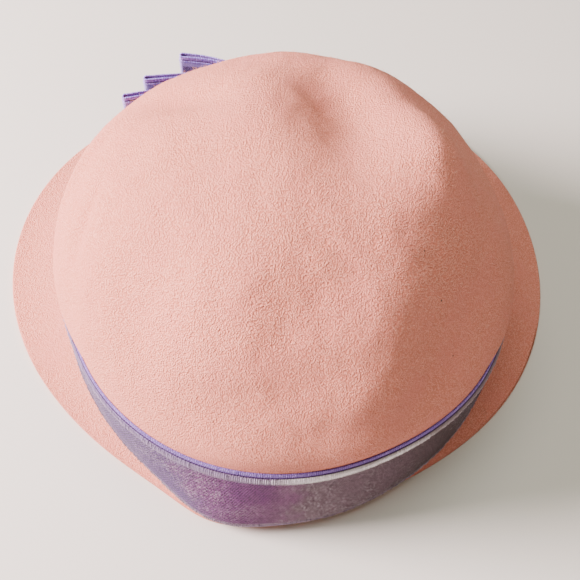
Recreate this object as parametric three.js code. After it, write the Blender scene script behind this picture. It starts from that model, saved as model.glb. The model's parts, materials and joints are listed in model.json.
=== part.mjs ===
// A felt cloche hat with a ribbon band and a flat stacked bow.
// Millimetres. +Z is up, the front of the hat faces -Y and the wearer's left is +X.
// The hat stands on its brim, so z = 0 is the surface that it rests on.
import * as THREE from "three";

// Crown
const CROWN_WIDTH = 178; // across the short way of the oval, over the ribbon
const CROWN_LENGTH = 186; // across the long way of the oval, over the ribbon
const CROWN_HEIGHT = 110; // from the head line to the top
const OVAL_TURN = 24; // degrees that the oval's short way is turned from the X axis
const OVAL_POWER = 2.14; // 2 is an ellipse, and more is squarer
const SIDE_POWER = 3.6; // how long the sides stay upright before they turn in
const TOP_POWER = 2.12; // how full the shoulder is
const SIDE_SWELL = 0.029; // share of the radius that the side swells, widest at the ribbon's top
const LEAN_BACK = 12; // how far the top sits behind the head line's centre
const LEAN_RIGHT = 4;

// Head line: where the crown meets the brim
const HEAD_LINE_FRONT = 19; // its height at the front
const HEAD_LINE_BACK = 3; // its height at the back, where the hat is shallowest
const HEEL_AZIMUTH = 75; // where the felt kicks out at the back
const HEEL_SPREAD = 12; // degrees to each side
const HEEL_OUT = 4.7;

// Brim and felt
const BRIM_WIDTH = 52; // at its widest, in front
const BRIM_CURVE = 1.6; // 1 is a straight slope, and more is hollower
const RIM_FLAT = 0.12; // share of the brim that lies flat on the table
const RIM_LIFT = 0.2; // how far the rest of its underside stays off the table, at least
const FELT_THICKNESS = 2.2;
const FOOT_TUCK = 2; // how far the felt's foot leans in under the ribbon at the back

// Ribbon
const RIBBON_WIDTH = 40;
const RIBBON_THICKNESS = 1;
const CLEARANCE = 0.3; // between one piece and the next

// Bow
const BOW_AZIMUTH = 275; // degrees round the hat, so it sits in front, a little to the left
const BOW_REACH = 62; // from the knot's middle to the farthest tip
const BOW_LIFT = 1; // from the head line up to the knot
const LOOP_OPENING = 1.6; // between the two layers of a loop, near its tips
const LOOP_PINCH = 0.5; // between the two layers under the knot
const KNOT_WIDTH = 15;

// How many points there are round the hat and round a loop
const AROUND = 90;
const LOOP_SIDE = 16;
const LOOP_TURN = 5;

// The outline, in rows 30 degrees apart. Azimuth 0 is the left side, 90 the back, 180 the right side
// and 270 the front. Flare is how far the side spreads at the head line and shoulder how far the
// crown swells above the ribbon, both as shares of the radius. Brim is a share of BRIM_WIDTH.
const OUTLINE = [
  { azimuth: 0, flare: 0.012, shoulder: -0.002, brim: 0.5 },
  { azimuth: 30, flare: 0.006, shoulder: 0.002, brim: 0.21 },
  { azimuth: 60, flare: 0.015, shoulder: 0.001, brim: 0.03 },
  { azimuth: 90, flare: 0.059, shoulder: 0.004, brim: -0.06 },
  { azimuth: 120, flare: 0.034, shoulder: -0.002, brim: -0.03 },
  { azimuth: 150, flare: 0.011, shoulder: 0.001, brim: 0.18 },
  { azimuth: 180, flare: 0.019, shoulder: -0.007, brim: 0.49 },
  { azimuth: 210, flare: 0.026, shoulder: 0.008, brim: 0.83 },
  { azimuth: 240, flare: 0.031, shoulder: 0.025, brim: 1 },
  { azimuth: 270, flare: 0.031, shoulder: -0.002, brim: 1 },
  { azimuth: 300, flare: 0.029, shoulder: -0.008, brim: 1 },
  { azimuth: 330, flare: 0.021, shoulder: 0.006, brim: 0.82 },
];

// The folds and dents of the soft crown. Azimuth is in degrees and rise a share of CROWN_HEIGHT.
// Across and up are a dent's half sizes and out its height, negative for a hollow, all shares of
// CROWN_HEIGHT. Turn is in degrees, from level towards the top.
const DENTS = [
  { name: "front valley", azimuth: 238, rise: 0.96, across: 0.14, up: 0.31, turn: 37, out: -0.056 },
  { name: "front right swell", azimuth: 192, rise: 0.92, across: 0.29, up: 0.1, turn: 5, out: 0.04 },
  { name: "front left swell", azimuth: 299, rise: 0.985, across: 0.15, up: 0.3, turn: -7, out: 0.028 },
  { name: "front brow", azimuth: 251, rise: 0.9, across: 0.22, up: 0.15, turn: -7, out: 0.033 },
  { name: "left fold", azimuth: 317, rise: 0.91, across: 0.09, up: 0.22, turn: 18, out: -0.036 },
  { name: "right ridge", azimuth: 180, rise: 0.92, across: 0.29, up: 0.14, turn: -25, out: 0.04 },
  { name: "right shoulder", azimuth: 174, rise: 0.88, across: 0.18, up: 0.14, turn: 66, out: 0.03 },
  { name: "back ridge", azimuth: 113, rise: 0.62, across: 0.33, up: 0.13, turn: 66, out: 0.038 },
  { name: "right hollow", azimuth: 138, rise: 0.655, across: 0.24, up: 0.16, turn: 10, out: -0.05 },
  { name: "low hollow", azimuth: 120, rise: 0.56, across: 0.37, up: 0.07, turn: 1, out: -0.022 },
  { name: "top saddle", azimuth: 94, rise: 0.85, across: 0.17, up: 0.28, turn: -40, out: -0.03 },
  { name: "back dimple", azimuth: 84, rise: 0.625, across: 0.39, up: 0.14, turn: 15, out: -0.03 },
  { name: "left back hollow", azimuth: 62, rise: 0.69, across: 0.37, up: 0.23, turn: 16, out: -0.03 },
  { name: "left hollow", azimuth: 44, rise: 0.78, across: 0.15, up: 0.22, turn: 0, out: -0.032 },
  { name: "left ridge", azimuth: 344, rise: 0.705, across: 0.16, up: 0.035, turn: -47, out: 0.018 },
  { name: "left crease", azimuth: 8, rise: 0.75, across: 0.15, up: 0.035, turn: -52, out: -0.014 },
];

// The bow's loops, from the crown outwards. Left and right are how far a loop reaches from the
// knot's middle, and fan how far its left tip stands out from its middle, all shares of BOW_REACH.
const LOOPS = [
  { name: "bow_loop_long", left: 0.99, right: 0.55, fan: -0.1 },
  { name: "bow_loop_middle", left: 0.83, right: 0.44, fan: 0.005 },
  { name: "bow_loop_short", left: 0.555, right: 0.3, fan: 0.145 },
];

const RIBBON_RISE = RIBBON_WIDTH / CROWN_HEIGHT; // share of the crown that the ribbon covers
const RIBBON_SEAT = RIBBON_THICKNESS + CLEARANCE; // how far the felt is drawn in under the ribbon
const HEAD_LINE_MIDDLE = (HEAD_LINE_FRONT + HEAD_LINE_BACK) / 2;

const radians = THREE.MathUtils.degToRad;
const vec = (x, y, z) => new THREE.Vector3(x, y, z);

// Runs smoothly from 0 at t = 0 to 1 at t = 1.
function ease(t) {
  return THREE.MathUtils.smoothstep(t, 0, 1);
}

// The smooth closed curve through one column of the OUTLINE rows.
function around(column, angle) {
  const count = OUTLINE.length;
  let sum = 0;
  for (const row of OUTLINE) {
    const half = (angle - radians(row.azimuth)) / 2;
    const tangent = Math.tan(half);
    const weight = Math.abs(tangent) < 1e-6 ? 1 : Math.sin(count * half) / (count * tangent);
    sum += row[column] * weight;
  }
  return sum;
}

// How many degrees an angle lies past an azimuth, the short way round.
function degreesFrom(azimuth, angle) {
  return THREE.MathUtils.euclideanModulo(THREE.MathUtils.radToDeg(angle) - azimuth + 180, 360) - 180;
}

// The oval's radius at the head line, before flare.
function ovalRadius(angle) {
  const turned = angle - radians(OVAL_TURN);
  const short = Math.abs(Math.cos(turned)) / (CROWN_WIDTH / 2);
  const long = Math.abs(Math.sin(turned)) / (CROWN_LENGTH / 2);
  return (short ** OVAL_POWER + long ** OVAL_POWER) ** (-1 / OVAL_POWER);
}

function headLineHeight(angle) {
  return HEAD_LINE_MIDDLE + ((HEAD_LINE_BACK - HEAD_LINE_FRONT) / 2) * Math.sin(angle);
}

// A point of the crown before dents and seat, at an angle round the hat and a rise from 0 to 1.
function crownPoint(angle, rise) {
  const dome = (1 - rise ** SIDE_POWER) ** (1 / TOP_POWER);
  const swell = 1 + SIDE_SWELL * Math.sin(Math.PI * Math.min(rise / 0.75, 1));
  const low = 1 - ease(rise / RIBBON_RISE);
  const flare = 1 + around("flare", angle) * low;
  const start = 0.8 * RIBBON_RISE;
  const shoulder = 1 + around("shoulder", angle) * ease((rise - start) / (1 - start));
  const heel = HEEL_OUT * low * Math.exp(-((degreesFrom(HEEL_AZIMUTH, angle) / HEEL_SPREAD) ** 2));
  const radius = ovalRadius(angle) * dome * swell * flare * shoulder + heel;
  return vec(
    radius * Math.cos(angle) - LEAN_RIGHT * rise,
    radius * Math.sin(angle) + LEAN_BACK * rise,
    headLineHeight(angle) * (1 - rise) + (CROWN_HEIGHT + HEAD_LINE_MIDDLE) * rise,
  );
}

// The crown's outward direction at the same point.
function crownNormal(angle, rise) {
  const step = 1e-3;
  const low = Math.min(rise, 0.995);
  const side = crownPoint(angle + step, low).sub(crownPoint(angle - step, low));
  const up = crownPoint(angle, low + step).sub(crownPoint(angle, Math.max(low - step, 0)));
  return side.cross(up).normalize();
}

// How far the dents move a point of the crown outwards.
const dentFrames = DENTS.map((dent) => {
  const angle = radians(dent.azimuth);
  const normal = crownNormal(angle, dent.rise);
  const level = vec(-Math.sin(angle), Math.cos(angle), 0);
  const across = level.applyAxisAngle(normal, radians(dent.turn));
  return { dent, centre: crownPoint(angle, dent.rise), normal, across, up: normal.clone().cross(across) };
});
function dentDepth(point) {
  let depth = 0;
  for (const { dent, centre, normal, across, up } of dentFrames) {
    const from = point.clone().sub(centre).divideScalar(CROWN_HEIGHT);
    const reach = Math.hypot(
      from.dot(across) / dent.across,
      from.dot(up) / dent.up,
      from.dot(normal) / (dent.across + dent.up),
    );
    depth += dent.out * CROWN_HEIGHT * Math.exp(-(reach ** 2));
  }
  return depth;
}

// The felt's outer face on the crown: dented above, and drawn in where the ribbon lies.
function feltPoint(angle, rise) {
  const point = crownPoint(angle, rise);
  const freed = ease((rise - RIBBON_RISE) / 0.08);
  const out = dentDepth(point) * freed - RIBBON_SEAT * (1 - freed);
  return point.addScaledVector(crownNormal(angle, rise), out);
}

// How far the felt reaches out past the head line. At the back it ends under the ribbon.
function brimReach(angle) {
  return Math.max(RIBBON_SEAT + around("brim", angle) * BRIM_WIDTH, -FOOT_TUCK);
}

// The felt's upper face on the brim, at a share of the way from the head line to the edge.
function brimPoint(angle, share) {
  const start = feltPoint(angle, 0);
  const out = brimReach(angle) * share;
  const drop = (1 - share) ** BRIM_CURVE;
  return vec(
    start.x + Math.cos(angle) * out,
    start.y + Math.sin(angle) * out,
    FELT_THICKNESS + (start.z - FELT_THICKNESS) * drop,
  );
}

// Lays triangles between neighbouring rings of points. Each ring holds the same count, and closed
// rows join the last ring back to the first.
function skin(rings, closed) {
  const count = rings[0].length;
  const faces = [];
  const last = closed ? rings.length : rings.length - 1;
  for (let i = 0; i < last; i++) {
    const next = (i + 1) % rings.length;
    for (let j = 0; j < count; j++) {
      const k = (j + 1) % count;
      const a = i * count + j;
      const b = i * count + k;
      const c = next * count + k;
      const d = next * count + j;
      faces.push(a, b, c, a, c, d);
    }
  }
  return faces;
}

function meshOf(name, points, faces, colour) {
  const geometry = new THREE.BufferGeometry().setFromPoints(points);
  geometry.setIndex(faces);
  geometry.computeVertexNormals();
  const material = new THREE.MeshStandardMaterial({ color: colour, roughness: 0.95 });
  const mesh = new THREE.Mesh(geometry, material);
  mesh.name = name;
  return mesh;
}

const angles = Array.from({ length: AROUND }, (_, i) => (i / AROUND) * 2 * Math.PI);

// The felt body. Its rings run from the brim's edge up the outside to the top.
const BRIM_SHARES = [1, 0.84, 0.66, 0.46, 0.27, 0.12];
const CROWN_RISES = [0, 0.06, 0.17, 0.28, 0.37, 0.41, 0.5, 0.59, 0.68, 0.76, 0.83, 0.89, 0.94, 0.975, 0.995];

function feltBody() {
  const outer = [
    ...BRIM_SHARES.map((share) => angles.map((angle) => brimPoint(angle, share))),
    ...CROWN_RISES.map((rise) => angles.map((angle) => feltPoint(angle, rise))),
  ];
  const flat = [0, RIM_FLAT].map((share) => angles.map((angle) => rimPoint(angle, share)));
  const inner = outer.slice(1).map((_, i) => angles.map((_, j) => insideOf(outer, i + 1, j)));
  const top = feltPoint(0, 1);
  const underTop = top.clone().setZ(top.z - FELT_THICKNESS);

  // One surface: down the inside to the edge, up the outside, and a fan that closes each top.
  const rings = [...inner.toReversed(), ...flat.toReversed(), ...outer];
  const faces = skin(rings, false);
  const points = [...rings.flat(), top, underTop];
  const [topIndex, underIndex] = [points.length - 2, points.length - 1];
  const lastRing = (rings.length - 1) * AROUND;
  for (let j = 0; j < AROUND; j++) {
    const k = (j + 1) % AROUND;
    faces.push(lastRing + j, lastRing + k, topIndex);
    faces.push(k, j, underIndex);
  }
  return meshOf("felt_body", points, faces, 0xe2b5a8);
}

// A point under the rim, where the hat rests: on the edge, or a share of the brim in from it.
function rimPoint(angle, share) {
  const edge = brimPoint(angle, 1);
  const width = share > 0 ? Math.max(share * brimReach(angle), FELT_THICKNESS) : 0;
  return vec(edge.x - width * Math.cos(angle), edge.y - width * Math.sin(angle), 0);
}

// The inside of the felt, one thickness in from the outside.
function insideOf(outer, i, j) {
  const side = outer[i][(j + 1) % AROUND].clone().sub(outer[i][(j + AROUND - 1) % AROUND]);
  const above = outer[Math.min(i + 1, outer.length - 1)][j];
  const normal = side.cross(above.clone().sub(outer[i - 1][j])).normalize();
  const inside = outer[i][j].clone().addScaledVector(normal, -FELT_THICKNESS);
  return inside.setZ(Math.max(inside.z, RIM_LIFT));
}

// The ribbon band, laid on the felt with a small clearance.
const BAND_RISES = [0.02, 0.1, 0.19, 0.28, RIBBON_RISE];

function ribbonBand() {
  const face = (out) =>
    BAND_RISES.map((rise) =>
      angles.map((angle) => crownPoint(angle, rise).addScaledVector(crownNormal(angle, rise), out)),
    );
  const rings = [...face(-RIBBON_THICKNESS).toReversed(), ...face(0)];
  return meshOf("ribbon_band", rings.flat(), skin(rings, true), 0x8f78b4);
}

// The bow. It is laid out flat, along X with its outside towards +Y, and then set against the band.
const LAYER = 2 * RIBBON_THICKNESS + LOOP_PINCH; // one pinched loop
const STACK = LOOPS.length * LAYER + (LOOPS.length - 1) * CLEARANCE;
const LOOPS_START = RIBBON_THICKNESS + 2 * CLEARANCE; // the knot's back layer lies under the loops

// The middle of the ribbon, all the way round one loop. The left tips point along -X.
function loopPath({ left, right, fan }, index) {
  const turn = (LOOP_OPENING + RIBBON_THICKNESS) / 2;
  const pinch = (LOOP_PINCH + RIBBON_THICKNESS) / 2;
  const start = turn - left * BOW_REACH;
  const end = right * BOW_REACH - turn;
  const middle = LOOPS_START + index * (LAYER + CLEARANCE) + LAYER / 2;
  const arm = (x) => Math.max(Math.abs(x) - KNOT_WIDTH / 2, 0); // how far past the knot
  const line = (x) => middle + (fan * BOW_REACH * arm(x)) / arm(start);
  const spread = (x) => pinch + (turn - pinch) * ease(arm(x) / arm(x < 0 ? start : end));
  const path = [];
  for (let i = 0; i <= LOOP_SIDE; i++) {
    const x = start + ((end - start) * i) / LOOP_SIDE;
    path.push(new THREE.Vector2(x, line(x) + spread(x)));
  }
  for (let i = 1; i < LOOP_TURN; i++) {
    const angle = Math.PI / 2 - (Math.PI * i) / LOOP_TURN;
    path.push(new THREE.Vector2(end + turn * Math.cos(angle), line(end) + turn * Math.sin(angle)));
  }
  for (let i = LOOP_SIDE; i >= 0; i--) {
    const x = start + ((end - start) * i) / LOOP_SIDE;
    path.push(new THREE.Vector2(x, line(x) - spread(x)));
  }
  for (let i = 1; i < LOOP_TURN; i++) {
    const angle = -Math.PI / 2 - (Math.PI * i) / LOOP_TURN;
    path.push(new THREE.Vector2(start + turn * Math.cos(angle), line(start) + turn * Math.sin(angle)));
  }
  return path;
}

// Moves a closed path sideways, outwards for a positive distance.
function offset(path, distance) {
  return path.map((point, i) => {
    const before = path[(i + path.length - 1) % path.length];
    const after = path[(i + 1) % path.length];
    const along = after.clone().sub(before).normalize();
    return new THREE.Vector2(point.x - along.y * distance, point.y + along.x * distance);
  });
}

function loop(row, index) {
  const path = loopPath(row, index);
  const wall = (distance, z) => offset(path, distance).map((p) => vec(p.x, p.y, z));
  const [out, half] = [RIBBON_THICKNESS / 2, RIBBON_WIDTH / 2];
  const rings = [wall(out, -half), wall(-out, -half), wall(-out, half), wall(out, half)];
  return meshOf(row.name, rings.flat(), skin(rings, true), 0x8064ac);
}

// The knot: a short upright ring of ribbon round the middle of the loops.
function knot() {
  const ring = (grow) => {
    const low = LOOPS_START - CLEARANCE - grow;
    const high = LOOPS_START + STACK + CLEARANCE + grow;
    const tall = RIBBON_WIDTH / 2 + CLEARANCE + grow;
    return [vec(0, low, -tall), vec(0, high, -tall), vec(0, high, tall), vec(0, low, tall)];
  };
  const moved = (points, x) => points.map((p) => vec(x, p.y, p.z));
  const [inner, outer, half] = [ring(0), ring(RIBBON_THICKNESS), KNOT_WIDTH / 2];
  const rings = [moved(outer, -half), moved(outer, half), moved(inner, half), moved(inner, -half)];
  return meshOf("bow_knot", rings.flat(), skin(rings, true), 0x8064ac);
}

function bow() {
  const angle = radians(BOW_AZIMUTH);
  const group = new THREE.Group();
  group.add(...LOOPS.map(loop), knot());

  // The height that lifts the knot clear of the brim, and the slope of the crown there.
  const low = headLineHeight(angle);
  const height = low + BOW_LIFT + RIBBON_THICKNESS + CLEARANCE + RIBBON_WIDTH / 2;
  const rise = (height - low) / (CROWN_HEIGHT + HEAD_LINE_MIDDLE - low);
  const side = vec(Math.sin(angle), -Math.cos(angle), 0);
  const up = side.clone().cross(crownNormal(angle, rise)).normalize();
  const out = up.clone().cross(side);
  group.applyMatrix4(new THREE.Matrix4().makeBasis(side, out, up));
  group.position.copy(crownPoint(angle, rise));
  return group;
}

const hat = new THREE.Group();
hat.add(feltBody(), ribbonBand(), bow());

// The origin lies in the middle of the hat's outline, on the table.
const middle = new THREE.Box3().setFromObject(hat).getCenter(vec(0, 0, 0));
hat.position.set(-middle.x, -middle.y, 0);
export default hat;
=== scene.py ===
# %% [markdown]
# # A soft felt cloche hat
# The hat is one hood of wool felt that was steamed and pulled over a block, so crown and brim are a
# single skin. A velvet ribbon runs round the head line and is finished with a flat looped bow. The
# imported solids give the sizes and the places, and every piece below is laid over them.
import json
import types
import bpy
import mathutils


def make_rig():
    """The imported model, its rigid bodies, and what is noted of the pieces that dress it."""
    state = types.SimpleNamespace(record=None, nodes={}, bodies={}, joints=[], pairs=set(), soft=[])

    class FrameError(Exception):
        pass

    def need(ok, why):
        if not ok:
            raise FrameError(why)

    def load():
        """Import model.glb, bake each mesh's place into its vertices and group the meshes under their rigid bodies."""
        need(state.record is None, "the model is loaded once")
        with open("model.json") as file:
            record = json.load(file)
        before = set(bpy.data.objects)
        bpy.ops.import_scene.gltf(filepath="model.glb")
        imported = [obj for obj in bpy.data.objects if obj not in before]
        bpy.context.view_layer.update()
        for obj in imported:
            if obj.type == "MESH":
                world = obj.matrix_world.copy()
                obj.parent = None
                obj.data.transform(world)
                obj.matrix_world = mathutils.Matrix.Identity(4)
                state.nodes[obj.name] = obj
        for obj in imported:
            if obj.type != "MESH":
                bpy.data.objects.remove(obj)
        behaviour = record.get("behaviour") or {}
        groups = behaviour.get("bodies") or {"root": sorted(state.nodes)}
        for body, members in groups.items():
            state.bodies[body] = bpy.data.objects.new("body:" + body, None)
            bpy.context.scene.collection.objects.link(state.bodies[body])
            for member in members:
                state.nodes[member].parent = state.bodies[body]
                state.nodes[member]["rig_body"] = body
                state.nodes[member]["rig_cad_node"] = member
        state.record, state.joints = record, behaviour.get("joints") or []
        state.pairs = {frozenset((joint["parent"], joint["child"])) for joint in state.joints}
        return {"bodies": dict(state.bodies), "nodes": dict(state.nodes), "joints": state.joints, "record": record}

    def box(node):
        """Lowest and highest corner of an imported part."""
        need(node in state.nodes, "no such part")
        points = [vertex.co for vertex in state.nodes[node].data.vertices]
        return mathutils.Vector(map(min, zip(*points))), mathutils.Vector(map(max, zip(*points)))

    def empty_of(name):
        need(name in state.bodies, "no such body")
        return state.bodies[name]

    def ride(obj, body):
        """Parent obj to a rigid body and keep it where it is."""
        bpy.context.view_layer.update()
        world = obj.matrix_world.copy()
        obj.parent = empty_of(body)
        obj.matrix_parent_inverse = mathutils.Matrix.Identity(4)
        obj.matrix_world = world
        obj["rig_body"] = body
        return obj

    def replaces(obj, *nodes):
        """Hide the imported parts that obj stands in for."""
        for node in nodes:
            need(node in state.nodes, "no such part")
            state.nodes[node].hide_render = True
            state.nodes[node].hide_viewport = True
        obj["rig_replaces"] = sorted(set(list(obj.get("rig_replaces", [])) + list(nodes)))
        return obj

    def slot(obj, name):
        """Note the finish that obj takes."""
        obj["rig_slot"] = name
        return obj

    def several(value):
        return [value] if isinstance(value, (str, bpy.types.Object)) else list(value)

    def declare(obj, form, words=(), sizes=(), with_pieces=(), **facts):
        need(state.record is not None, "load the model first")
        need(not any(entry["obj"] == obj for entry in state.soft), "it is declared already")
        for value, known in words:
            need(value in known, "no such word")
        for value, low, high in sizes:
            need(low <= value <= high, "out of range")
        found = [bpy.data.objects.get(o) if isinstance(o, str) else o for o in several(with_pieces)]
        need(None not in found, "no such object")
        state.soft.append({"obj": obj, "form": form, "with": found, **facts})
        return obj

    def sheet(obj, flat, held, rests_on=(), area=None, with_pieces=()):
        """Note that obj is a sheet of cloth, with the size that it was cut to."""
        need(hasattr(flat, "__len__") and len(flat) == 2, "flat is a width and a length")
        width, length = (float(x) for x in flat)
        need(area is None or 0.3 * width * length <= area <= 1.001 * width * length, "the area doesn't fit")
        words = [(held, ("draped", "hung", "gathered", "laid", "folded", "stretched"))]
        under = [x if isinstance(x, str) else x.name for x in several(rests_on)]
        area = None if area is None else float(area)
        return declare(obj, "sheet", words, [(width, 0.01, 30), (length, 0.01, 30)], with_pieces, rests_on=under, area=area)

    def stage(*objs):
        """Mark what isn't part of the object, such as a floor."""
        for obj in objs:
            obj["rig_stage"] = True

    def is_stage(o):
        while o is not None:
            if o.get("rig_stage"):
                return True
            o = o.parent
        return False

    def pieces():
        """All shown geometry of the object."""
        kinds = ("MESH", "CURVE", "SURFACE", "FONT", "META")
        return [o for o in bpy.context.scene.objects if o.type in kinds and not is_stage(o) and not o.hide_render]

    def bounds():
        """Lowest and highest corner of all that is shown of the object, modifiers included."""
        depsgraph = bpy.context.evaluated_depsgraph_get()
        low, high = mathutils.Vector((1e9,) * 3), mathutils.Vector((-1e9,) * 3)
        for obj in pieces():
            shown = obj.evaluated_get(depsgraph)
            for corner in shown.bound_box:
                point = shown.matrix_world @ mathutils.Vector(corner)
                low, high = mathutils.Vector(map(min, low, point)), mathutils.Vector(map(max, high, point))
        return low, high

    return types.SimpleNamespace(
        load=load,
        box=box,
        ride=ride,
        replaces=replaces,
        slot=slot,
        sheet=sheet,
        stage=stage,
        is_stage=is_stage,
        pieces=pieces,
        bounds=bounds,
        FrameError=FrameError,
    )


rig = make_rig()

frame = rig.load()

import json
import math

import bpy
import numpy as np
from mathutils import Matrix, Vector, noise

cad_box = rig.bounds()
print("solids:", sorted(frame["nodes"]))
print("box of the solids in metres:", [[round(c, 4) for c in corner] for corner in cad_box])

# %% [markdown]
# ## Camera, floor and light
# The view is from behind and above, close to the hat, so the back of the ribbon looks wide and the
# brim in front disappears behind the crown. A camera is easiest to place by what it looks at, its
# distance and two angles. The floor is a plain pale sheet.

# %% Camera
def add_object(name, data):
    made = bpy.data.objects.new(name, data)
    bpy.context.scene.collection.objects.link(made)
    return made


FOCAL_PIXELS, FRAME_PIXELS = 963, 580
CAMERA_AZIMUTH, CAMERA_ELEVATION = math.radians(179), math.radians(54)
CAMERA_DISTANCE = 0.377
LOOK_AT = Vector((-0.0059, 0.0479, 0.055))

back = Vector((
    math.sin(CAMERA_AZIMUTH) * math.cos(CAMERA_ELEVATION),
    -math.cos(CAMERA_AZIMUTH) * math.cos(CAMERA_ELEVATION),
    math.sin(CAMERA_ELEVATION),
))
camera_data = bpy.data.cameras.new("camera")
camera_data.sensor_width = 36
camera_data.lens = 36 * FOCAL_PIXELS / FRAME_PIXELS
camera = add_object("camera", camera_data)
camera.location = LOOK_AT + back * CAMERA_DISTANCE
camera.rotation_euler = back.to_track_quat("Z", "Y").to_euler()
bpy.context.scene.camera = camera
print("lens in mm:", round(camera_data.lens, 1))

# %% Floor
def plain_material(name, colour, roughness):
    material = bpy.data.materials.new(name)
    material.use_nodes = True
    shader = material.node_tree.nodes["Principled BSDF"]
    shader.inputs["Base Color"].default_value = (*colour, 1)
    shader.inputs["Roughness"].default_value = roughness
    return material


floor_mesh = bpy.data.meshes.new("floor")
floor_mesh.from_pydata([(-2, -2, 0), (2, -2, 0), (2, 2, 0), (-2, 2, 0)], [], [(0, 1, 2, 3)])
floor_mesh.materials.append(plain_material("pale floor", (0.62, 0.6, 0.58), 0.7))
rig.stage(add_object("floor", floor_mesh))
print("floor laid")

# %% Light
def soft_light(name, place, size, watts, colour):
    data = bpy.data.lights.new(name, "AREA")
    data.shape, data.size, data.energy, data.color = "DISK", size, watts, colour
    light = add_object(name, data)
    light.location = place
    light.rotation_euler = (Vector(place) - Vector((0, 0, 0.05))).to_track_quat("Z", "Y").to_euler()


soft_light("window", (1.05, 0.02, 0.6), 0.55, 90, (1, 0.84, 0.81))
soft_light("overhead", (0.1, 0.0, 1.6), 1.2, 18, (1, 0.97, 0.84))
world = bpy.data.worlds.new("room")
world.use_nodes = True
world.node_tree.nodes["Background"].inputs["Color"].default_value = (1, 0.94, 0.72, 1)
world.node_tree.nodes["Background"].inputs["Strength"].default_value = 0.34
bpy.context.scene.world = world
print("lights set")

# %% [markdown]
# ## The shape of the crown
# A blocked hood follows a rule: an oval head line, sides that stay upright and then turn in, and a
# few soft dents from handling. The rule is written once as functions of the angle round the hat and
# the rise from the head line (0) to the top (1). Lengths are in millimetres until a mesh is made.

# %% Sizes of the crown and the brim
CROWN_WIDTH, CROWN_LENGTH, CROWN_HEIGHT = 178, 186, 110
OVAL_TURN, OVAL_POWER = 24, 2.14
SIDE_POWER, TOP_POWER, SIDE_SWELL = 3.6, 2.12, 0.029
LEAN_BACK, LEAN_RIGHT = 12, 4
HEAD_LINE_FRONT, HEAD_LINE_BACK = 19, 3
HEEL_AZIMUTH, HEEL_SPREAD, HEEL_OUT = 75, 12, 4.7
BRIM_WIDTH, BRIM_CURVE, RIM_FLAT, RIM_LIFT = 52, 1.6, 0.12, 0.2
FELT_THICKNESS = 2.2
FOOT_TUCK = 2
SIDE_PULL, SIDE_AZIMUTHS, SIDE_SPREAD, SIDE_PULL_FULL = 1.4, (3, 178), 30, 0.625
ROLL_RISE, SIDE_ROLL_RISE = 0.08, 0.035
RIBBON_WIDTH, RIBBON_THICKNESS, CLEARANCE = 40, 1, 0.3
RIBBON_RISE = RIBBON_WIDTH / CROWN_HEIGHT
RIBBON_SEAT = RIBBON_THICKNESS + CLEARANCE
HEAD_LINE_MIDDLE = (HEAD_LINE_FRONT + HEAD_LINE_BACK) / 2

# A row every 30 degrees: flare at the head line, shoulder above the ribbon, brim.
OUTLINE = {
    "flare": [0.012, 0.006, 0.015, 0.059, 0.034, 0.011, 0.019, 0.026, 0.031, 0.031, 0.029, 0.021],
    "shoulder": [
        -0.002, 0.002, 0.001, 0.004, -0.002, 0.001, -0.007, 0.008, 0.025, -0.002, -0.008, 0.006,
    ],
    "brim": [0.5, 0.21, 0.03, -0.06, -0.03, 0.18, 0.49, 0.83, 1, 1, 1, 0.82],
}
# azimuth, rise, half size across, half size up, turn, height (shares of CROWN_HEIGHT)
DENTS = {
    "front valley": (238, 0.96, 0.14, 0.31, 37, -0.056),
    "front right swell": (192, 0.92, 0.29, 0.1, 5, 0.04),
    "front left swell": (299, 0.985, 0.15, 0.3, -7, 0.028),
    "front brow": (251, 0.9, 0.22, 0.15, -7, 0.033),
    "left fold": (317, 0.91, 0.09, 0.22, 18, -0.036),
    "right ridge": (180, 0.92, 0.29, 0.14, -25, 0.04),
    "right shoulder": (174, 0.88, 0.18, 0.14, 66, 0.03),
    "back ridge": (113, 0.62, 0.33, 0.13, 66, 0.038),
    "right hollow": (138, 0.655, 0.24, 0.16, 10, -0.05),
    "low hollow": (120, 0.56, 0.37, 0.07, 1, -0.022),
    "top saddle": (94, 0.85, 0.17, 0.28, -40, -0.03),
    "back dimple": (84, 0.625, 0.39, 0.14, 15, -0.03),
    "left back hollow": (62, 0.69, 0.37, 0.23, 16, -0.03),
    "left hollow": (44, 0.78, 0.15, 0.22, 0, -0.032),
    "left ridge": (344, 0.705, 0.16, 0.035, -47, 0.018),
    "left crease": (8, 0.75, 0.15, 0.035, -52, -0.014),
}
print("dents:", len(DENTS))

# %% The rule of the crown
def ease(t):
    t = np.clip(t, 0, 1)
    return t * t * (3 - 2 * t)


def around(column, angle):
    """The smooth closed curve through one column of OUTLINE."""
    rows = OUTLINE[column]
    total = np.zeros_like(np.asarray(angle, float))
    for k, value in enumerate(rows):
        half = (angle - 2 * math.pi * k / len(rows)) / 2
        tangent = np.tan(half)
        near = np.abs(tangent) < 1e-6
        wave = np.sin(len(rows) * half) / (len(rows) * np.where(near, 1, tangent))
        total += value * np.where(near, 1, wave)
    return total


def head_line(angle):
    return HEAD_LINE_MIDDLE + (HEAD_LINE_BACK - HEAD_LINE_FRONT) / 2 * np.sin(angle)


def degrees_past(angle, azimuth):
    """How far an angle lies past an azimuth, from -180 to 180 degrees."""
    return (np.degrees(angle) - azimuth + 180) % 360 - 180


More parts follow.
